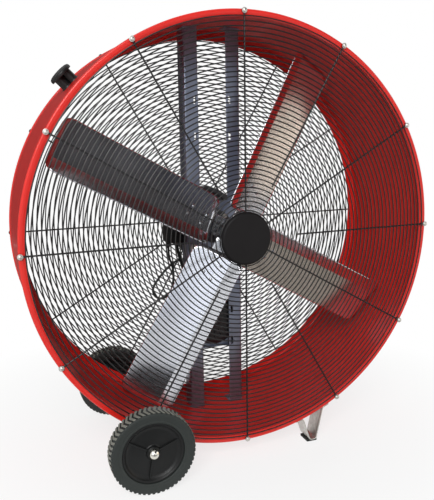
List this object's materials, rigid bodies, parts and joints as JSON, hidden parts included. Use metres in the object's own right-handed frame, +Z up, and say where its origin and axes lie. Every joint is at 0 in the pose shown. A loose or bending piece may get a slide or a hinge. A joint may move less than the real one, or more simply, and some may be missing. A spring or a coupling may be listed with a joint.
{
  "type": "drum fan",
  "caption": "Belt-drive drum fan in a round red sheet-steel drum, with black wire guards, riveted blades, wheels on one side and feet on the other.",
  "frame": {"origin": "on the floor, straight below the fan's axis, halfway along the wheel axle between the ends of its cap nuts", "axes": "+Z up, +Y from the outlet side to the inlet side along the fan's axis, +X to the right of someone who faces the outlet"},
  "size_m": [1.16, 0.5536, 1.2039],
  "materials": {
    "red_paint": "gloss red enamel on sheet steel",
    "black_wire": "black powder coat on steel wire",
    "black_paint": "satin black paint on steel",
    "grey_paint": "satin slate grey paint on steel",
    "motor_paint": "satin black motor enamel",
    "zinc": "zinc plated steel",
    "shaft_steel": "turned steel",
    "chrome": "polished chrome plate",
    "blade_aluminium": "mill finish sheet, fine lengthwise grain",
    "cast_iron": "dark painted casting",
    "winding_copper": "enamelled copper winding and steel laminations",
    "belt_rubber": "matt black rubber",
    "lead_rubber": "black rubber sheath",
    "tyre_rubber": "semi-solid rubber tyre",
    "black_plastic": "moulded black plastic",
    "gloss_black_plastic": "moulded black plastic, satin gloss"
  },
  "bodies": {
    "frame": {"drum_shell": "red_paint", "front_guard": "black_wire", "rear_guard": "black_wire", "guard_centre_plate": "black_paint", "guard_screw_01": "zinc", "guard_screw_02": "zinc", "guard_screw_03": "zinc", "guard_screw_04": "zinc", "guard_screw_05": "zinc", "guard_screw_06": "zinc", "guard_screw_07": "zinc", "guard_screw_08": "zinc", "guard_screw_09": "zinc", "guard_screw_10": "zinc", "guard_screw_11": "zinc", "guard_screw_12": "zinc", "left_strut": "grey_paint", "right_strut": "grey_paint", "bearing_plate": "grey_paint", "bearing_housing": "cast_iron", "front_bearing": "shaft_steel", "rear_bearing": "shaft_steel", "drive_belt": "belt_rubber", "motor_shell": "motor_paint", "motor_front_bell": "motor_paint", "motor_rear_bell": "motor_paint", "motor_stator": "winding_copper", "motor_mount": "grey_paint", "switch_box": "black_plastic", "switch_box_cover": "black_plastic", "speed_switch": "black_plastic", "motor_lead": "lead_rubber", "lead_tie": "black_plastic", "box_gland": "black_plastic", "motor_gland": "black_plastic", "mains_gland": "black_plastic", "lead_post": "gloss_black_plastic", "wheel_axle": "shaft_steel", "front_cap_nut": "chrome", "rear_cap_nut": "chrome", "front_axle_bracket": "black_paint", "rear_axle_bracket": "black_paint", "front_foot_strap": "zinc", "rear_foot_strap": "zinc", "front_foot_pad": "belt_rubber", "rear_foot_pad": "belt_rubber"},
    "fan": {"fan_shaft": "shaft_steel", "fan_hub": "cast_iron", "fan_blade_1": "blade_aluminium", "fan_blade_2": "blade_aluminium", "fan_blade_3": "blade_aluminium", "fan_blade_4": "blade_aluminium", "driven_pulley": "cast_iron"},
    "rotor": {"motor_rotor": "shaft_steel", "motor_pulley": "cast_iron"},
    "front_wheel": {"front_tyre": "tyre_rubber", "front_rim": "black_plastic"},
    "rear_wheel": {"rear_tyre": "tyre_rubber", "rear_rim": "black_plastic"},
    "knob": {"switch_knob": "gloss_black_plastic"}
  },
  "joints": [
    {"name": "fan_spin", "type": "hinge", "parent": "frame", "child": "fan", "pos_m": [0, -0.0645, 0.62393], "axis": [0, 1, 0], "continuous": true},
    {"name": "motor_spin", "type": "hinge", "parent": "frame", "child": "rotor", "pos_m": [0.00518, 0.1355, 0.32697], "axis": [0, 1, 0], "continuous": true},
    {"name": "front_wheel_spin", "type": "hinge", "parent": "frame", "child": "front_wheel", "pos_m": [-0.28641, -0.245, 0.1104], "axis": [0, 1, 0], "continuous": true},
    {"name": "rear_wheel_spin", "type": "hinge", "parent": "frame", "child": "rear_wheel", "pos_m": [-0.28641, 0.245, 0.1104], "axis": [0, 1, 0], "continuous": true},
    {"name": "switch_turn", "type": "hinge", "parent": "frame", "child": "knob", "pos_m": [-0.12461, 0.2355, 0.65776], "axis": [0, -1, 0], "range_deg": [0, 90]}
  ],
  "couplings": [
    {"joint": "motor_spin", "follows": "fan_spin", "ratio": 4}
  ]
}
